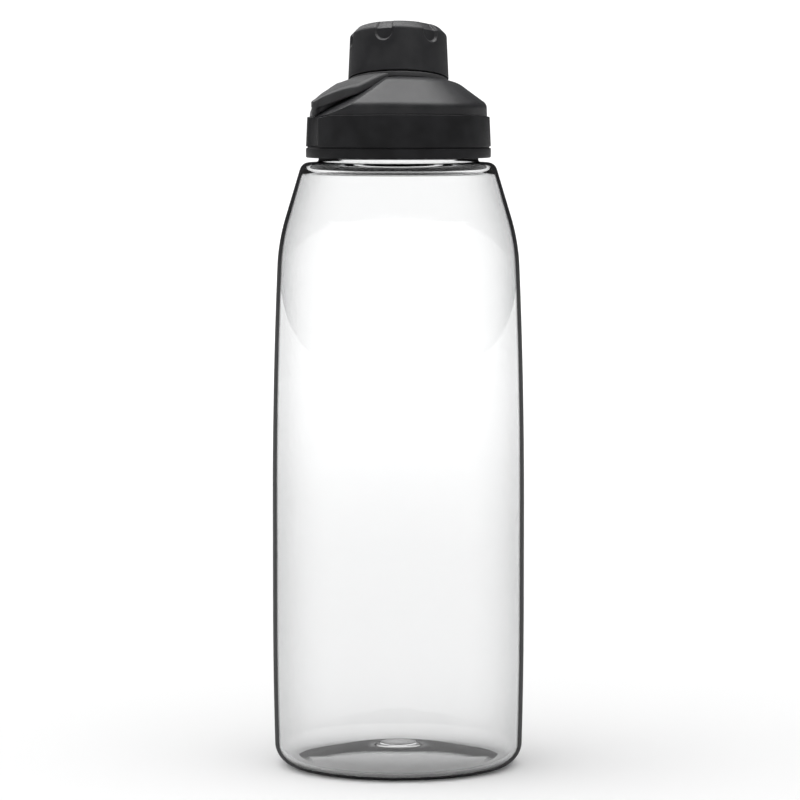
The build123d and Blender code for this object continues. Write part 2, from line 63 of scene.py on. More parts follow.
# Rounded outline: each corner p with cuts c is replaced by (1-t)^2 a + 2t(1-t) p + t^2 b,
# where a and b lie c before and after p. Corners may be 2-D or 3-D, with any leading axes.
def rounded(corners, cuts, steps=6, closed=False):
    corners = np.asarray(corners, float)
    cuts = np.asarray(cuts, float)[:, None]
    before = np.roll(corners, 1, -2) - corners
    after = np.roll(corners, -1, -2) - corners
    lengthBefore = np.linalg.norm(before, axis=-1, keepdims=True)
    lengthAfter = np.linalg.norm(after, axis=-1, keepdims=True)
    reach = np.minimum(cuts, 0.48 * np.minimum(lengthBefore, lengthAfter))
    if not closed:
        reach[..., 0, :] = 0
        reach[..., -1, :] = 0
    start = corners + before / np.maximum(lengthBefore, 1e-9) * reach
    end = corners + after / np.maximum(lengthAfter, 1e-9) * reach
    t = np.linspace(0, 1, steps)[:, None]
    curve = ((1 - t) ** 2 * start[..., None, :] + 2 * t * (1 - t) * corners[..., None, :]
             + t ** 2 * end[..., None, :])
    return curve.reshape(*corners.shape[:-2], -1, corners.shape[-1])


# Resampled outline: points at even steps of arc length, denser where the outline already is.
def resampled(points, count, evenness=0.6):
    step = np.linalg.norm(np.diff(points, axis=-2), axis=-1)
    reference = step.reshape(-1, step.shape[-1]).mean(0)
    even = np.concatenate([[0], np.cumsum(reference)])
    own = np.arange(len(even)) / (len(even) - 1)
    mixed = evenness * even / even[-1] + (1 - evenness) * own
    wanted = np.linspace(0, 1, count)
    right = np.clip(np.searchsorted(mixed, wanted, side="right"), 1, len(mixed) - 1)
    share = ((wanted - mixed[right - 1]) / np.maximum(mixed[right] - mixed[right - 1], 1e-12))[:, None]
    return points[..., right - 1, :] * (1 - share) + points[..., right, :] * share


# Arc from a to c through b, as centre + radius (cos, sin) between the three angles.
def arcThrough(a, b, c, count):
    a, b, c = (np.asarray(p, float) for p in (a, b, c))
    matrix = 2 * np.array([b - a, c - a])
    centre = np.linalg.solve(matrix, [b @ b - a @ a, c @ c - a @ a])
    angles = np.unwrap([math.atan2(*(p - centre)[::-1]) for p in (a, b, c)])
    sweep = np.linspace(angles[0], angles[2], count)
    return centre + np.linalg.norm(a - centre) * np.stack([np.cos(sweep), np.sin(sweep)], -1)


# Arc that leaves a along a direction and ends at c; returns the points and the direction at its end.
def arcAlong(a, c, direction, count):
    a, c, direction = (np.asarray(p, float) for p in (a, c, direction))
    direction = direction / np.linalg.norm(direction)
    chord = c - a
    side = np.array([-direction[1], direction[0]])
    radius = chord @ chord / (2 * chord @ side)
    centre = a + side * radius
    bend = 2 * math.atan2(chord @ side, chord @ direction)
    sweep = np.linspace(0, bend, count)[:, None]
    points = centre + radius * (np.sin(sweep) * direction - np.cos(sweep) * side)
    return points, direction * math.cos(bend) + side * math.sin(bend)


def smoothStep(value, low, high):
    share = np.clip((value - low) / (high - low), 0, 1)
    return share * share * (3 - 2 * share)


# Soft minimum: (a + b - sqrt((a - b)^2 + k^2)) / 2, which rounds the edge where two surfaces cross.
def softMin(a, b, soft):
    return (a + b - np.sqrt((a - b) ** 2 + soft ** 2)) / 2


# A grid of points becomes a closed mesh: coincident points are joined, so that poles and seams close,
# and all faces are turned outwards by the sign of the volume.
def makePiece(name, grid, loopU=True, loopV=False):
    countU, countV = grid.shape[:2]
    flat = grid.reshape(-1, 3) / 1000
    keys = np.round(flat * 1e7).astype(np.int64)
    _, first, index = np.unique(keys, axis=0, return_index=True, return_inverse=True)
    index = index.reshape(countU, countV)
    u = np.arange(countU if loopU else countU - 1)[:, None]
    v = np.arange(countV if loopV else countV - 1)[None, :]
    u2, v2 = (u + 1) % countU, (v + 1) % countV
    quads = np.stack(np.broadcast_arrays(index[u, v], index[u2, v], index[u2, v2], index[u, v2]), -1)
    quads = quads.reshape(-1, 4)
    points = flat[first]
    same = quads == np.roll(quads, -1, 1)
    whole = quads[~same.any(1)]
    pinched = quads[same.sum(1) == 1]
    keep = ~same[same.sum(1) == 1]
    triangles = pinched[keep].reshape(-1, 3) if len(pinched) else np.zeros((0, 3), int)
    corners = np.concatenate([whole[:, [0, 1, 2]], whole[:, [0, 2, 3]], triangles])
    a, b, c = (points[corners[:, k]] for k in range(3))
    if np.einsum("ij,ij->i", a, np.cross(b, c)).sum() < 0:
        whole, triangles = whole[:, ::-1], triangles[:, ::-1]
    mesh = bpy.data.meshes.new(name)
    mesh.from_pydata(points.tolist(), [], whole.tolist() + triangles.tolist())
    mesh.polygons.foreach_set("use_smooth", np.ones(len(mesh.polygons), bool))
    mesh.update()
    piece = bpy.data.objects.new(name, mesh)
    scene.collection.objects.link(piece)
    print("made", name, len(mesh.polygons), "faces")
    return piece


def around(count):
    return np.arange(count) * turn / count


# Wraps one output socket, so that sums and products of sockets add Math nodes.
class Value:
    def __init__(self, finish, socket):
        self.finish, self.socket = finish, socket

    def math(self, operation, *others, swapped=False):
        values = [self, *others]
        if swapped:
            values = values[::-1]
        return self.finish.node("ShaderNodeMath", {"operation": operation}, dict(enumerate(values)))

    def __add__(self, other):
        return self.math("ADD", other)

    def __sub__(self, other):
        return self.math("SUBTRACT", other)

    def __rsub__(self, other):
        return self.math("SUBTRACT", other, swapped=True)

    def __mul__(self, other):
        return self.math("MULTIPLY", other)

    __radd__ = __add__
    __rmul__ = __mul__

    def between(self, low, high):
        return self.finish.node("ShaderNodeMapRange", {"interpolation_type": "SMOOTHSTEP", "clamp": True},
                                {"Value": self, "From Min": low, "From Max": high})


# A material, or a world, and the nodes in it.
class Finish:
    def __init__(self, name, kind=bpy.data.materials):
        self.owner = kind.new(name)
        self.owner.use_nodes = True
        self.tree = self.owner.node_tree
        self.tree.nodes.clear()
        self.place = self.node("ShaderNodeTexCoord", output="Object")

    # one method for every node: its type, its settings, then its sockets by name or number
    def node(self, kind, settings=None, sockets=None, output=0):
        made = self.tree.nodes.new(kind)
        for key, value in (settings or {}).items():
            setattr(made, key, value)
        for key, value in (sockets or {}).items():
            socket = made.inputs[key]
            if isinstance(value, Value):
                self.tree.links.new(value.socket, socket)
            else:
                socket.default_value = value
        return Value(self, made.outputs[output]) if made.outputs else made

    def noise(self, scale, detail=3.0, roughness=0.55):
        return self.node("ShaderNodeTexNoise", sockets={"Vector": self.place, "Scale": scale,
                                                        "Detail": detail, "Roughness": roughness})

    def mixed(self, factor, first, second):
        return self.node("ShaderNodeMix", {"data_type": "RGBA"},
                         {"Factor": factor, 6: (*first, 1), 7: (*second, 1)}, output=2)

    def bump(self, height, strength, distance):
        return self.node("ShaderNodeBump", sockets={"Height": height, "Strength": strength,
                                                    "Distance": distance})

    def surface(self, **sockets):
        named = {key.replace("_", " "): value for key, value in sockets.items()}
        shader = self.node("ShaderNodeBsdfPrincipled", sockets=named)
        self.node("ShaderNodeOutputMaterial", sockets={"Surface": shader})
        return self.owner


# body is a name, or a tuple (lower, upper, start point, end point) for a piece between two bodies; a tuple
# isn't read, and the piece is only baked in place, attached to no body
def place(piece, material, body, slot, *replaced):
    piece.data.materials.clear()
    piece.data.materials.append(material)
    if isinstance(body, str):
        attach(piece, body)
    else:
        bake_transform(piece)
    if replaced:
        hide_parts(*replaced)


# Moulded plastic: cloudy colour, scuffed roughness and a fine grain, on Object coordinates in metres.
def moulded(name, colour, lighter, rough, grain, grainSize, gloss=0.5):
    finish = Finish(name)
    cloud = finish.noise(90, 2)
    scuffs = finish.noise(420, 4, 0.7)
    speckle = finish.noise(grainSize, 2, 0.5)
    colours = finish.mixed(cloud.between(0.3, 0.7), colour, lighter)
    roughness = rough + (cloud - 0.5) * 0.12 + (scuffs - 0.5) * 0.16
    return finish.surface(Base_Color=colours, Roughness=roughness, Specular_IOR_Level=gloss,
                          Normal=finish.bump(speckle, grain, 0.0002))


lidBlack = moulded("satin_black_plastic", (0.010, 0.010, 0.011), (0.016, 0.016, 0.017),
                   0.42, 0.22, 6500, 0.3)
bandBlack = moulded("satin_black_band", (0.009, 0.009, 0.0095), (0.014, 0.014, 0.015),
                    0.42, 0.22, 6500, 0.08)
capBlack = moulded("satin_black_cap", (0.008, 0.008, 0.009), (0.014, 0.014, 0.015),
                   0.44, 0.25, 6000, 0.3)
tetherBlack = moulded("soft_black_tether", (0.014, 0.014, 0.015), (0.024, 0.024, 0.025),
                      0.55, 0.35, 5200, 0.4)
padBlack = moulded("textured_black_pad", (0.010, 0.010, 0.011), (0.026, 0.026, 0.027),
                   0.5, 0.5, 4200, 0.3)
darkInner = moulded("dark_inner_plastic", (0.02, 0.02, 0.021), (0.04, 0.04, 0.042),
                    0.45, 0.2, 5000)
silicone = moulded("cloudy_silicone", (0.55, 0.56, 0.57), (0.68, 0.69, 0.70),
                   0.48, 0.15, 3000, 0.4)


def plated():
    finish = Finish("nickel_plated_steel")
    cloud = finish.noise(160, 3)
    stretched = finish.node("ShaderNodeMapping",
                            sockets={"Vector": finish.place, "Scale": (300.0, 300.0, 6000.0)})
    lines = finish.node("ShaderNodeTexNoise", sockets={"Vector": stretched, "Detail": 2.0})
    return finish.surface(Base_Color=finish.mixed(cloud, (0.52, 0.51, 0.50), (0.64, 0.63, 0.61)),
                          Metallic=1.0, Roughness=0.22 + lines * 0.2,
                          Normal=finish.bump(lines, 0.15, 0.0001))


steel = plated()

# centre is the wall's colour face-on; side is the painted shade it darkens to at grazing angles.
clearLook = {"ior": 1.52, "centre": (0.930, 0.932, 0.933), "side": (0.45, 0.455, 0.46), "shadeFrom": 0.15,
             "shadeTo": 1.0, "rim": (0.014, 0.014, 0.015), "paintedEdgeFrom": 0.69, "paintedEdgeTo": 0.77,
             "footEdgeShade": 0.36, "footFrom": 0.0012, "footTo": 0.0026,
             "neckEdgeShade": 0.42, "neckFrom": 0.2308, "neckTo": 0.2314}


# Clear plastic: light passes, and the colour darkens by a smooth step of 1 - cos of the angle to the wall, a
# painted shade towards the sides that stands in for the grey that refraction gives there.
# Past it the outer surface is mixed into a near-black shader: a painted dark rim, painted shade in place of
# light caught in the wall. Outside is where the normal points away from the bottle's axis, and the painted rim
# is wider along the thick corner of the foot and over the neck.
def clearPlastic():
    finish = Finish("clear_plastic")
    facing = finish.node("ShaderNodeLayerWeight", sockets={"Blend": 0.5}, output="Facing")
    look = clearLook
    shadedTint = finish.mixed(facing.between(look["shadeFrom"], look["shadeTo"]), look["centre"], look["side"])
    haze = finish.noise(60, 3)
    rub = finish.noise(900, 4, 0.65).between(0.62, 0.8)
    ripple = finish.noise(14, 1)
    bend = finish.bump(ripple, 0.02, 0.002)
    wall = finish.node("ShaderNodeBsdfPrincipled", sockets={
        "Base Color": shadedTint, "Roughness": 0.012 + haze * 0.012 + rub * 0.05, "Normal": bend,
        "Transmission Weight": 1.0, "IOR": look["ior"]})
    # edge: the near-black shader of the painted dark rim, in the rim colour.
    edge = finish.node("ShaderNodeBsdfPrincipled", sockets={
        "Base Color": (*look["rim"], 1), "Roughness": 0.5, "Specular IOR Level": 0.05})
    radial = finish.node("ShaderNodeVectorMath", {"operation": "MULTIPLY"},
                         {0: finish.place, 1: (1, 1, 0)})
    normal = finish.node("ShaderNodeTexCoord", output="Normal")
    outside = finish.node("ShaderNodeVectorMath", {"operation": "DOT_PRODUCT"},
                          {0: radial, 1: normal}, output="Value").between(-0.001, 0.001)
    height = finish.node("ShaderNodeSeparateXYZ", sockets={"Vector": finish.place}, output="Z")
    # foot and neck widen the painted dark rim by height: painted shade along the base and over the neck.
    foot = (1 - height.between(look["footFrom"], look["footTo"])) * look["footEdgeShade"]
    neck = height.between(look["neckFrom"], look["neckTo"]) * look["neckEdgeShade"]
    both = finish.node("ShaderNodeMixShader", sockets={
        0: (facing + foot + neck).between(look["paintedEdgeFrom"], look["paintedEdgeTo"]) * outside, 1: wall, 2: edge})
    finish.node("ShaderNodeOutputMaterial", sockets={"Surface": both})
    return finish.owner


clear = clearPlastic()

# The clear bottle, in millimetres and degrees; turns and lead are the thread's.
bottle = {"radius": 48.0, "wall": 1.9, "footSide": 47.3, "corner": 8.7, "straight": (60.0, 100.0),
          "waist": (46.05, 191.0), "cone": (43.2, 208.5), "coneLean": 16.7, "shoulder": 230.4,
          "footRing": 36.0, "floor": 2.4, "punt": 5.0, "dimple": 8.8,
          "neckBore": 27.9, "neckRoot": 30.3, "lip": 244.6, "turns": 1.75, "lead": 5.0,
          "threadStart": 3.6, "threadDepth": 1.2, "threadWidths": (0.4, 1.05), "threadTaper": 0.25,
          "neckRounds": (0, 6.2, 1.4, 0.7, 0.6, 1.2, 4.6, 0), "neckRows": 150, "samples": 240}


# Half outline moved in by inset, from the axis under the base up to the shoulder, as runs of (r, z):
# dimple, dome of the base, corner arc, slow swell, straight wall, two tangent arcs and the cone.
def wallOutline(inset, floor, top):
    b = bottle
    start = b["footSide"] - b["corner"]
    half = math.sqrt(0.5)
    bend = (start + (b["corner"] - inset) * half, b["corner"] - (b["corner"] - floor) * half)
    middle = (b["footSide"] + 0.75 * (b["radius"] - b["footSide"]) - inset,
              (b["corner"] + b["straight"][0]) / 2)
    r, low, high = b["radius"] - inset, *b["straight"]
    base = rounded([(0, floor + b["punt"] + 1.2), (b["dimple"] - 1.2, floor + b["punt"] + 1.2),
                    (b["dimple"], floor + b["punt"]), (b["dimple"] + 1, floor + b["punt"] - 0.03)],
                   [0, 0.7, 0.7, 0], 5)
    dome = arcThrough((b["dimple"], floor + b["punt"]),
                      (0.62 * b["footRing"], floor + 0.72 * b["punt"]),
                      (b["footRing"], floor), 24)
    corner = arcThrough((start, floor), bend, (b["footSide"] - inset, b["corner"]), 18)
    swell = arcThrough(corner[-1], middle, (r, low), 16)
    straight = np.stack([np.full(9, r), np.linspace(low, high, 9)], 1)
    upper, direction = arcAlong((r, high), (b["waist"][0] - inset, b["waist"][1]), (0, 1), 26)
    shoulderTurn, direction = arcAlong(upper[-1], (b["cone"][0] - inset, b["cone"][1]), direction, 12)
    slope = math.tan(math.radians(b["coneLean"]))
    coneRadius, coneHeight = b["cone"]
    topRadius = coneRadius - (b["shoulder"] - coneHeight) * slope - inset + (b["shoulder"] - top) * slope
    outline = [base[:-1], dome[2:], corner, swell[1:], straight[1:], upper[1:], shoulderTurn[1:]]
    return np.concatenate(outline), (topRadius, top)


# Thread: a ridge at height start + lead a / turn, flat within one width, gone at another, and tapered
# by a smooth step at both ends.
def threadRidge(angle, height, start, turns):
    flat, foot = bottle["threadWidths"]
    taper = bottle["threadTaper"]
    ridge = 0
    for lap in range(math.ceil(turns)):
        total = angle + lap * turn
        middle = start + bottle["lead"] * total / turn
        fade = smoothStep(total, 0, taper) * smoothStep(turns * turn - total, 0, taper)
        ridge = np.maximum(ridge, fade * (1 - smoothStep(np.abs(height - middle), flat, foot)))
    return ridge


def bottleGrid():
    b = bottle
    outer, outerTop = wallOutline(0, 0, b["shoulder"])
    inner, innerTop = wallOutline(b["wall"], b["floor"], b["shoulder"] - b["wall"])
    neck = rounded([outer[-1], outerTop, (b["neckRoot"], b["shoulder"]), (b["neckRoot"], b["lip"]),
                    (b["neckBore"], b["lip"]), (b["neckBore"], b["shoulder"] - b["wall"]),
                    innerTop, inner[-1]], b["neckRounds"], 14)
    steps = np.linalg.norm(np.diff(neck, axis=0), axis=1)
    along = np.concatenate([[0], np.cumsum(steps)])
    dense = np.linspace(0, along[-1], b["neckRows"])
    neck = np.stack([np.interp(dense, along, neck[:, k]) for k in (0, 1)], 1)
    profile = np.concatenate([outer[:-1], neck, inner[::-1][1:]])
    angle = around(b["samples"])[:, None]
    radius, height = profile[None, :, 0], profile[None, :, 1]
    onNeck = (np.abs(profile[:, 0] - b["neckRoot"]) < 0.05)[None, :]
    ridge = threadRidge(angle, height, b["shoulder"] + b["threadStart"], b["turns"])
    radius = radius + b["threadDepth"] * ridge * onNeck
    return leaning(radius, angle, height, 0, 0)


place(makePiece("clear_bottle", bottleGrid()), clear, "bottle", "clear_body", "bottle_body")

# The lid: threaded closure, outer skirt and dome. Pairs are (radius, height); parting is (height, lean),
# ledge (distance, height, slope) and scallop (width, depth).
lid = {"bottom": 232.2, "ringTop": 235.8, "grooveTop": 236.4, "ringRadius": 35.1, "groove": 34.5,
       "outer": 32.8, "step": (32.1, 245.0), "root": 31.9, "deck": (245.65, 247.45), "hole": 15.0,
       "turns": 1.4, "threadRows": 60, "skirtTop": (34.4, 252.5), "band": ((33.9, 236.4), (33.5, 252.5)),
       "parting": (247.6, 2.0), "partingRadius": 33.6, "crest": (23.4, 259.7), "crown": (20.2, 260.7),
       "crownLean": 6.0, "ledge": (26.7, 252.3, 0.67), "scallop": (11.5, 1.1), "edge": 0.45,
       "wallInside": 32.2, "wallTop": 250.9, "pocket": (19.45, -2.55), "recess": (16.4, -3.2), "bore": 13.6,
       "roof": (22.5, 255.7, 7.0), "samples": 480}


def closureGrid():
    d = lid
    corners = [(d["root"], d["bottom"]), (d["ringRadius"], d["bottom"]), (d["ringRadius"], d["ringTop"]),
               (d["groove"], d["ringTop"]), (d["groove"], d["grooveTop"]), (d["outer"], d["grooveTop"]),
               (d["outer"], d["step"][1]), (d["step"][0], d["step"][1]), (d["step"][0], d["deck"][1]),
               (d["hole"], d["deck"][1]), (d["hole"], d["deck"][0]), (d["root"], d["deck"][0])]
    cuts = [0.3, 0.55, 0.5, 0.1, 0.1, 0.1, 0.1, 0.1, 0.3, 0.3, 0.3, 0.2]
    outline = rounded(corners, cuts, 5, closed=True)
    rows = np.linspace(d["deck"][0] - 0.3, d["bottom"] + 0.4, d["threadRows"])
    threads = np.stack([np.full_like(rows, d["root"]), rows], 1)
    profile = np.concatenate([outline, threads])
    angle = around(240)[:, None]
    radius, height = profile[None, :, 0], profile[None, :, 1]
    inside = np.concatenate([np.zeros(len(outline)), np.ones(len(threads))])[None, :]
    start = bottle["shoulder"] + bottle["threadStart"] + bottle["lead"] / 2
    ridge = threadRidge(angle, height, start, d["turns"])
    return leaning(radius - bottle["threadDepth"] * ridge * inside, angle, height, 0, 0)


closure = makePiece("threaded_closure", closureGrid(), loopV=True)
place(closure, bandBlack, "lid", "lid_black", "lid_closure")


# height of the parting plane and of the ledge plane over a point
def partingHeight(x, y):
    return lid["parting"][0] - y * math.tan(math.radians(lid["parting"][1]))


def ledgeHeight(x, y, drop=0.0):
    at, height, slope = lid["ledge"]
    return height - drop - slope * (x * math.cos(strapTurn) + y * math.sin(strapTurn) - at)


def skirtGrid():
    d = lid
    angle = around(d["samples"])
    # scallop: the ray at angle a meets a circle of radius R at distance D cos a - sqrt(R^2 - D^2 sin^2 a)
    width, depth = d["scallop"]
    big = (width ** 2 / 4 + depth ** 2) / (2 * depth)
    centre = d["skirtTop"][0] - depth + big
    away = (angle - strapTurn + math.pi) % turn - math.pi
    inRoot = big ** 2 - (centre * np.sin(away)) ** 2
    near = (inRoot > 0) & (np.abs(away) < 1)
    scoop = np.where(near, centre * np.cos(away) - np.sqrt(np.maximum(inRoot, 0)), 99)
    slope = (d["ringRadius"] - d["skirtTop"][0]) / (d["skirtTop"][1] - d["grooveTop"])

    def top(radius):
        x, y = radius * np.cos(angle), radius * np.sin(angle)
        return softMin(partingHeight(x, y), ledgeHeight(x, y), 0.25)

    bottomRadius = softMin(np.full_like(angle, d["ringRadius"]), scoop, 0.12)
    topRadius = softMin(d["ringRadius"] - slope * (top(d["skirtTop"][0]) - d["grooveTop"]), scoop, 0.12)
    inner = np.full_like(angle, d["outer"])
    corners = np.stack([np.stack(pair, -1) for pair in (
        (inner, np.full_like(angle, d["grooveTop"])), (bottomRadius, np.full_like(angle, d["grooveTop"])),
        (topRadius, top(topRadius)), (inner, top(inner)))], 1)
    outline = rounded(corners, [0.1, 0.4, d["edge"], 0.1], 6, closed=True)
    return leaning(outline[..., 0], angle[:, None], outline[..., 1], 0, 0)


place(makePiece("outer_skirt", skirtGrid(), loopV=True), bandBlack, "lid", "lid_black", "lid_skirt")

# The strap, its outline and the crown that it follows.
strap = {"rootHalf": 16.4, "root": 9.0, "bend": (21.5, 14.9), "tipHalf": 2.4, "tip": 34.6,
         "tipLength": 2.4, "thick": 2.9, "proud": 0.3, "lean": 3.0, "rimRise": 0.3, "gap": 0.35,
         "ringDrop": 0.8, "tipOpen": 3.0, "margin": 2.2, "padDepth": 0.4, "padProud": 0.17, "lozenge": 2.4,
         "capRadius": 19.05}


def strapHalf(distance, inset=0.0):
    s = strap
    bends = rounded([(s["root"] - 3, s["rootHalf"] + 0.36), s["bend"],
                     (s["tip"] - s["tipLength"], s["tipHalf"]), (s["tip"] + 3, s["tipHalf"])],
                    [0, 1.2, 1.2, 0], 9)
    direction = np.gradient(bends, axis=0)
    normal = np.stack([-direction[:, 1], direction[:, 0]], 1)
    normal = normal / np.linalg.norm(normal, axis=1, keepdims=True)
    moved = bends - normal * inset
    order = np.argsort(moved[:, 0])
    half = np.interp(distance, moved[order, 0], moved[order, 1])
    blunt = min(1.6, s["tipHalf"] - inset * 0.2)
    end = s["tip"] - inset
    cap = np.sqrt(np.clip(blunt ** 2 - np.clip(distance - (end - blunt), 0, blunt) ** 2, 0, None)) - blunt
    return np.maximum(half + cap, 0.05)


# Crown: straight lines between a level rim circle, a leaning crest circle and the ring's circle.
def crownHeight(x, y, drop=0.0):
    s, d = strap, lid
    rho, angle = np.hypot(x, y), np.arctan2(y, x)
    rim = s["tip"] + 2 * s["gap"]
    rimHeight = d["band"][1][1] + s["rimRise"] - drop

    def circle(radius, height, lean):
        sine, cosine = math.sin(lean), math.cos(lean)
        reach = radius * np.hypot(np.cos(angle), np.sin(angle) * cosine)
        return reach, height - radius * np.sin(angle) * sine

    crestRho, crestZ = circle(d["crest"][0], d["crest"][1] + s["proud"] - drop, math.radians(s["lean"]))
    ringRho, ringZ = circle(s["capRadius"], spoutHeight - s["ringDrop"] - drop, spoutLean)
    outer = rimHeight + (crestZ - rimHeight) * (rim - rho) / (rim - crestRho)
    inner = crestZ + (ringZ - crestZ) * (crestRho - rho) / (crestRho - ringRho)
    return np.where(rho > crestRho, outer, inner)


def strapSpace(x, y):
    along = x * math.cos(strapTurn) + y * math.sin(strapTurn)
    across = -x * math.sin(strapTurn) + y * math.cos(strapTurn)
    return np.maximum(np.abs(across) - strapHalf(along) - strap["gap"], strap["root"] - along)


def domeGrid():
    d = lid
    angle = around(d["samples"])
    lean = math.radians(d["crownLean"])
    (pocket, pocketFloor), (recess, recessFloor), bore = d["pocket"], d["recess"], d["bore"]
    roofRadius, roofHeight, roofLean = d["roof"][0], d["roof"][1], math.radians(d["roof"][2])
    (bandLow, bandFoot), (bandHigh, bandTop) = d["band"]

    # where a cylinder round the spout's axis meets a leaning plane: s such that (P - O) . n = 0
    def along(radius, height, planeLean):
        normal = np.array([0, math.sin(planeLean), math.cos(planeLean)])
        foot = leaning(radius, angle, 0, spoutHeight, spoutLean)
        axis = np.array([0, math.sin(spoutLean), math.cos(spoutLean)])
        return (np.array([0, 0, height]) - foot) @ normal / (axis @ normal)

    low = partingHeight(0, d["partingRadius"] * np.sin(angle)) + 0.02
    lowRadius = bandLow + (bandHigh - bandLow) * (low - bandFoot) / (bandTop - bandFoot)
    level = np.zeros_like(angle)
    corners = np.stack([
        leaning(d["wallInside"] + level, angle, low, 0, 0),
        leaning(lowRadius, angle, low, 0, 0),
        leaning(bandHigh + level, angle, bandTop, 0, 0),
        leaning(d["crest"][0], angle, 0, d["crest"][1], lean),
        leaning(d["crown"][0], angle, 0, d["crown"][1], lean),
        leaning(pocket, angle, along(pocket, d["crown"][1], lean), spoutHeight, spoutLean),
        leaning(pocket, angle, pocketFloor, spoutHeight, spoutLean),
        leaning(recess, angle, pocketFloor, spoutHeight, spoutLean),
        leaning(recess, angle, recessFloor, spoutHeight, spoutLean),
        leaning(bore, angle, recessFloor, spoutHeight, spoutLean),
        leaning(bore, angle, along(bore, roofHeight, roofLean), spoutHeight, spoutLean),
        leaning(roofRadius, angle, 0, roofHeight, roofLean),
        leaning(d["wallInside"] + level, angle, d["wallTop"], 0, 0)], 1)
    cuts = [0.1, 0.25, 1.6, 1.5, 0.5, 0.25, 0.1, 0.1, 0.1, 0.1, 0.1, 1.0, 0.6]
    outline = rounded(corners, cuts, 7, closed=True)
    split = 5 * 7 + 3  # the shown side ends inside the pocket's rounded top corner
    shown, hidden = outline[:, :split], outline[:, split:]
    shown = resampled(shown, 150, 0.85)
    x, y, z = shown[..., 0], shown[..., 1], shown[..., 2]
    z = softMin(z, ledgeHeight(x, y), 0.3)
    floor = crownHeight(x, y, strap["thick"] + strap["gap"])
    inside = smoothStep(-strapSpace(x, y), -0.25, 0.15)
    z = np.where(z > floor, z + (floor - z) * inside, z)
    low = np.minimum(low[:, None], ledgeHeight(x, y) - 0.4)
    z = np.maximum(z, low)
    shown = np.stack([x, y, z], -1)
    x, y, z = hidden[..., 0], hidden[..., 1], hidden[..., 2]
    z = softMin(z, ledgeHeight(x, y, 1.2), 0.1)
    hidden = np.stack([x, y, z], -1)
    return np.concatenate([shown, hidden], 1)


place(makePiece("lid_cover", domeGrid(), loopV=True), lidBlack, "lid", "lid_black", "lid_dome")


# ---------- strap and pad: at each distance a, a rounded cross-section; b goes from -1 to 1 across.
# along = root(b) + (tip - root(b)) a, across = b half(along), height = crown - depth. A wedge fills the
# space down to the ledge, and opens towards the tip along its sides.
def strapGrid(inset, top, bottom, edge, rows, pattern=0.0, wedge=False):
    s = strap
    a = np.concatenate([[0], np.linspace(0, 1, rows), [1]])
    ridge = np.linspace(-1, 1, 61)
    e = edge / 12
    across = np.concatenate([[-1, -1, -1 + 0.3 * e, -1 + e], ridge[1:-1] * (1 - 1.2 * e),
                             [1 - e, 1 - 0.3 * e, 1, 1], ridge[::-1][::3]])
    level = np.concatenate([[0.25, 0.75, 0.93, 1.0], np.ones(59), [1.0, 0.93, 0.75, 0.25], np.zeros(21)])
    half = s["rootHalf"] - inset
    root = np.sqrt((s["capRadius"] + 0.07) ** 2 - (half * across) ** 2)
    tip = s["tip"] - inset - 0.02
    shrink = np.ones(rows + 2)
    shrink[0] = shrink[-1] = 0.0
    along = root[None, :] + (tip - root[None, :]) * a[:, None]
    side = across[None, :] * strapHalf(along, inset)
    x = along * math.cos(strapTurn) - side * math.sin(strapTurn)
    y = along * math.sin(strapTurn) + side * math.cos(strapTurn)
    high, low = crownHeight(x, y) + top, crownHeight(x, y) + bottom
    if wedge:
        out = np.clip((along - s["root"] - 8) / (s["tip"] - s["root"] - 8), 0, 1)
        lift = s["tipOpen"] * out ** 1.5 * smoothStep(np.abs(across[None, :]), 0.55, 0.95)
        low = np.minimum(low, ledgeHeight(x, y) + s["gap"] + lift)
    z = low + (high - low) * level[None, :]
    if pattern:
        # raised lozenges: the product of two slanted waves, faded out towards the pad's edge
        pitch = turn / s["lozenge"]
        wave = np.sin((along + side) * pitch) * np.sin((along - side) * pitch)
        fade = smoothStep(1 - np.abs(across[None, :]), 0.05, 0.2) * smoothStep(a[:, None], 0.02, 0.08) \
            * smoothStep(1 - a[:, None], 0.05, 0.12)
        z = z + pattern * smoothStep(np.abs(wave), 0.1, 0.6) * fade * (level[None, :] > 0.99)
    grid = np.stack([x, y, z], -1)
    centre = grid.mean(1, keepdims=True)
    return centre + (grid - centre) * shrink[:, None, None]


tipPoint = [strap["tip"] * math.cos(strapTurn) / 1000, strap["tip"] * math.sin(strapTurn) / 1000, 0.2505]
rootPoint = [19.1 * math.cos(strapTurn) / 1000, 19.1 * math.sin(strapTurn) / 1000, 0.2625]
place(makePiece("strap", strapGrid(0, 0, -strap["thick"], 0.5, 90, wedge=True)), tetherBlack,
      ("lid", "tether", tipPoint, rootPoint), "tether_black", "tether_strap")
padGrid = strapGrid(strap["margin"], strap["padProud"] - 0.12, -strap["padDepth"] + 0.02, 0.3, 90, 0.12)
place(makePiece("strap_pad", padGrid), padBlack, ("lid", "tether", tipPoint, rootPoint), "pad_texture",
      "tether_pad")


# Tether ring: a closed rounded outline turned about the spout's axis.
ring = {"inner": 15.58, "outer": 19.05, "bottom": -2.3, "top": -0.25, "samples": 240}


def ringGrid():
    r = ring
    corners = [(r["inner"], r["bottom"]), (r["outer"], r["bottom"]), (r["outer"], r["top"]),
               (r["inner"], r["top"])]
    outline = rounded(corners, [0.2, 0.35, 0.45, 0.2], 6, True)
    angle = around(r["samples"])[:, None]
    return leaning(outline[None, :, 0], angle, outline[None, :, 1], spoutHeight, spoutLean)


place(makePiece("ring", ringGrid(), loopV=True), tetherBlack, "tether", "tether_black", "tether_ring")

# Twist cap with grip notches.
cap = {"radius": 19.05, "chamferRadius": 18.35, "bottom": 0.25, "side": 16.95, "chamfer": 2.9, "inner": 16.2,
       "innerTop": 17.25, "innerBevel": (14.8, 15.85), "notches": 6, "notchWidth": 7.0, "notchDepth": 1.0,
       "notchFoot": 15.45, "notchTurn": 252.3, "samples": 432}


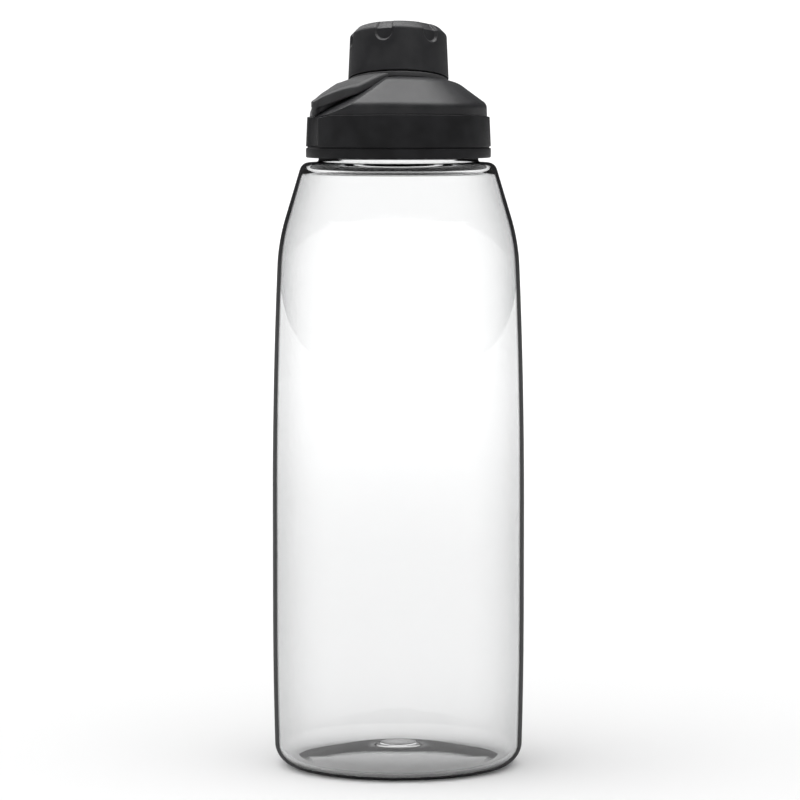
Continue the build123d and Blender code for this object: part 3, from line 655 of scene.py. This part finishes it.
# Notch: the outline moves in by its depth where the point (across, s) lies in a slot with a round foot.
def capGrid():
    c = cap
    angle = around(c["samples"])[:, None]
    top = c["side"] + c["chamfer"]
    outer = rounded([(c["inner"], c["bottom"]), (c["radius"], c["bottom"]), (c["chamferRadius"], c["side"]),
                     (c["chamferRadius"] - c["chamfer"], top), (0, top)], [0, 0.35, 0.8, 1.3, 0], 9)
    outer = resampled(outer, 150, 0.8)
    inner = rounded([(0, c["innerTop"]), (c["innerBevel"][0], c["innerTop"]),
                     (c["inner"], c["innerBevel"][1]), (c["inner"], c["bottom"])], [0, 0.3, 0.3, 0], 4)
    radius, along = outer[None, :, 0], outer[None, :, 1]
    away = (angle - math.radians(c["notchTurn"]) + math.pi / 6) % (turn / c["notches"]) - math.pi / 6
    across = c["radius"] * np.sin(away)
    slot = np.where(along > c["notchFoot"], np.abs(across), np.hypot(across, along - c["notchFoot"]))
    depth = c["notchDepth"] * smoothStep(c["notchWidth"] / 2 - slot, -0.18, 0.42)
    topRadius = c["chamferRadius"] - c["chamfer"]
    onSide = smoothStep(radius, topRadius - 1.6, topRadius + 0.3)
    slope = smoothStep(along, c["side"] - 0.4, c["side"] + 0.4)
    inward = depth * onSide * (1 + (math.sqrt(0.5) - 1) * slope)
    down = depth * onSide * math.sqrt(0.5) * slope * smoothStep(top - along, 0.0, 0.8)
    shown = leaning(radius - inward, angle, along - down, spoutHeight, spoutLean)
    hidden = leaning(inner[None, :, 0] + 0 * angle, angle, inner[None, :, 1], spoutHeight, spoutLean)
    return np.concatenate([shown, hidden], 1)


place(makePiece("twist_cap", capGrid(), loopV=True), capBlack, "cap", "cap_black", "cap_shell")

# CAD pieces that stay as they are, inside the lid.
carried = {"neck_seal": silicone, "spout_gasket": silicone, "cap_seal": silicone, "spout": darkInner,
           "cap_liner": darkInner, "magnet_clip": darkInner, "cap_magnet": steel, "lid_magnet": steel,
           "tether_anchor": darkInner}
for name, material in carried.items():
    nodes[name].data.materials.clear()
    nodes[name].data.materials.append(material)
print("materials placed")

# Floor, light and camera: the sun's strength, the world's two strengths, and the floor's size in mm.
studio = {"sun": 3.5, "reflected": 0.10, "backdrop": 1.16, "floorRadius": 6000.0, "floorHeight": -0.05}


# Floor: a disc x = r cos a, y = r sin a, a hair under the bottle.
def makeFloor():
    radius = np.linspace(0.0, studio["floorRadius"], 13)[None, :]
    floor = makePiece("pale_floor", leaning(radius, around(96)[:, None], 0, studio["floorHeight"], 0))
    finish = Finish("pale_floor_paint")
    cloud = finish.noise(3, 2)
    far = finish.node("ShaderNodeVectorMath", {"operation": "LENGTH"}, {0: finish.place}, output="Value")
    lift = finish.mixed(far.between(0.4, 2.2), (0, 0, 0), (0.25, 0.25, 0.25))
    floor.data.materials.append(finish.surface(
        Base_Color=finish.mixed(cloud, (0.90, 0.90, 0.90), (0.92, 0.92, 0.92)), Roughness=0.9 + cloud * 0.05,
        Specular_IOR_Level=0.1, Emission_Color=lift, Emission_Strength=1.0))


makeFloor()


# World: the camera and light through the clear wall see a bright backdrop, gloss and shade a dim one.
def makeWorld():
    finish = Finish("soft_studio", bpy.data.worlds)
    direct = finish.node("ShaderNodeLightPath", output="Is Camera Ray")
    through = finish.node("ShaderNodeLightPath", output="Is Transmission Ray")
    strength = finish.node("ShaderNodeMapRange", sockets={
        "Value": direct.math("MAXIMUM", through), "To Min": studio["reflected"], "To Max": studio["backdrop"]})
    back = finish.node("ShaderNodeBackground", sockets={"Color": (1, 1, 1, 1), "Strength": strength})
    finish.node("ShaderNodeOutputWorld", sockets={"Surface": back})
    scene.world = finish.owner


makeWorld()

# The small boxes light the dark pieces alone, so that the clear wall doesn't mirror them.
darkPieces = bpy.data.collections.new("dark_pieces")
for name in ("threaded_closure", "outer_skirt", "lid_cover", "strap", "strap_pad", "ring", "twist_cap"):
    darkPieces.objects.link(bpy.data.objects[name])


def lamp(name, kind, position, target, energy, size=None, tall=None, shines=True):
    data = bpy.data.lights.new(name, kind)
    data.energy = energy
    if kind == "AREA":
        data.shape = "RECTANGLE"
        data.size, data.size_y = size, tall
    if kind == "SUN":
        data.angle = size
    light = bpy.data.objects.new(name, data)
    light.location = position
    away = np.subtract(position, target)
    tilt = math.atan2(math.hypot(away[0], away[1]), away[2])
    light.rotation_euler = (tilt, 0, math.atan2(away[1], away[0]) + turn / 4)
    light.visible_glossy = shines
    light.visible_camera = False
    light.visible_transmission = False
    scene.collection.objects.link(light)
    if kind == "AREA":
        light.light_linking.receiver_collection = darkPieces


lamp("overhead_sun", "SUN", (-0.35, -0.5, 2), (0, 0, 0), studio["sun"], math.radians(120), shines=False)
lamp("front_soft_box", "AREA", (-0.35, -1.5, 0.9), (0, 0, 0.24), 3, 0.9, 1.1, shines=False)
lamp("top_soft_box", "AREA", (0.02, 0.06, 0.85), (0, 0, 0.25), 10, 1.0, 0.5)
lamp("back_left_soft_box", "AREA", (-0.42, 0.85, 0.75), (0, 0, 0.25), 1.2, 0.6, 0.4)

camera = bpy.data.objects.new("camera", bpy.data.cameras.new("camera"))
camera.data.lens, camera.data.sensor_width = 184.05, 36
camera.data.clip_start, camera.data.clip_end = 0.05, 50
camera.location = (0.0006, -1.555, 0.262)
camera.rotation_euler = (math.radians(90 - 4.491), 0, 0)
scene.collection.objects.link(camera)
scene.camera = camera
scene.view_settings.view_transform = "Standard"

bpy.context.view_layer.update()
print("scene ready")
